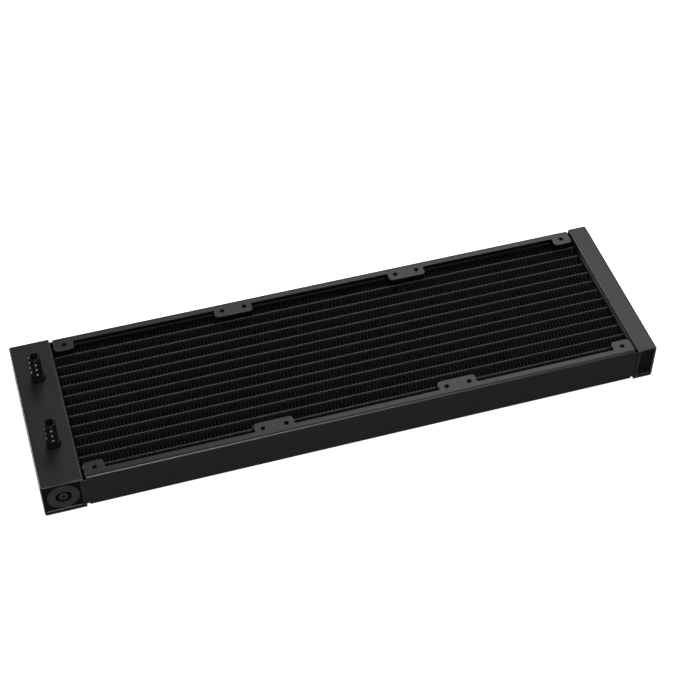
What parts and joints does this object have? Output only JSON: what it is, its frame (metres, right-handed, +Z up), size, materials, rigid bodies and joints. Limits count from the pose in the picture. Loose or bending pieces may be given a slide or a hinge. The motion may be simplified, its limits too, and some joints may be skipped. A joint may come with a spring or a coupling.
{
  "type": "liquid cooling radiator",
  "caption": "Slim liquid cooling radiator for a row of fans: finned flat-tube core, wide tank with hose barbs and relief plug, narrow return tank, rails with tapped screw holes.",
  "frame": {"origin": "centre of the footprint, on the plane of the lower rail flanges", "axes": "+X along the core from the wide tank to the narrow one, +Z up along the hose barbs, so -Y is the side whose tank end holds the relief plug"},
  "size_m": [0.401, 0.12, 0.048],
  "materials": {
    "frame_paint": "satin",
    "core_paint": "matte",
    "barb_paint": "gloss",
    "plug_plastic": "matte",
    "seal_rubber": "matte",
    "bare_aluminium": "satin",
    "clamp_steel": "satin"
  },
  "bodies": {
    "root": {"rail_front": "frame_paint", "rail_rear": "frame_paint", "side_plate_front": "core_paint", "side_plate_rear": "core_paint", "port_tank_shell": "frame_paint", "port_header": "core_paint", "port_tank_front_cap": "frame_paint", "port_tank_rear_cap": "frame_paint", "port_tank_baffle": "bare_aluminium", "return_tank_shell": "frame_paint", "return_header": "core_paint", "return_tank_front_cap": "frame_paint", "return_tank_rear_cap": "frame_paint", "inlet_barb": "barb_paint", "outlet_barb": "barb_paint", "tube_01": "core_paint", "tube_02": "core_paint", "tube_03": "core_paint", "tube_04": "core_paint", "tube_05": "core_paint", "tube_06": "core_paint", "tube_07": "core_paint", "tube_08": "core_paint", "tube_09": "core_paint", "tube_10": "core_paint", "tube_11": "core_paint", "tube_12": "core_paint", "fin_01": "core_paint", "fin_02": "core_paint", "fin_03": "core_paint", "fin_04": "core_paint", "fin_05": "core_paint", "fin_06": "core_paint", "fin_07": "core_paint", "fin_08": "core_paint", "fin_09": "core_paint", "fin_10": "core_paint", "fin_11": "core_paint", "fin_12": "core_paint", "fin_13": "core_paint"},
    "seal": {"plug_o_ring": "seal_rubber"},
    "plug": {"relief_plug": "plug_plastic", "relief_bladder": "seal_rubber", "bladder_clamp": "clamp_steel"}
  },
  "joints": [
    {"name": "plug_travel", "type": "slide", "parent": "root", "child": "seal", "axis": [0, -1, 0], "range_m": [0, 0.006]},
    {"name": "plug_turn", "type": "hinge", "parent": "seal", "child": "plug", "pos_m": [-0.1875, -0.058, 0.0135], "axis": [0, -1, 0], "range_deg": [0, 1440]}
  ],
  "couplings": [
    {"joint": "plug_turn", "follows": "plug_travel", "rad_per_m": 4188.8}
  ]
}
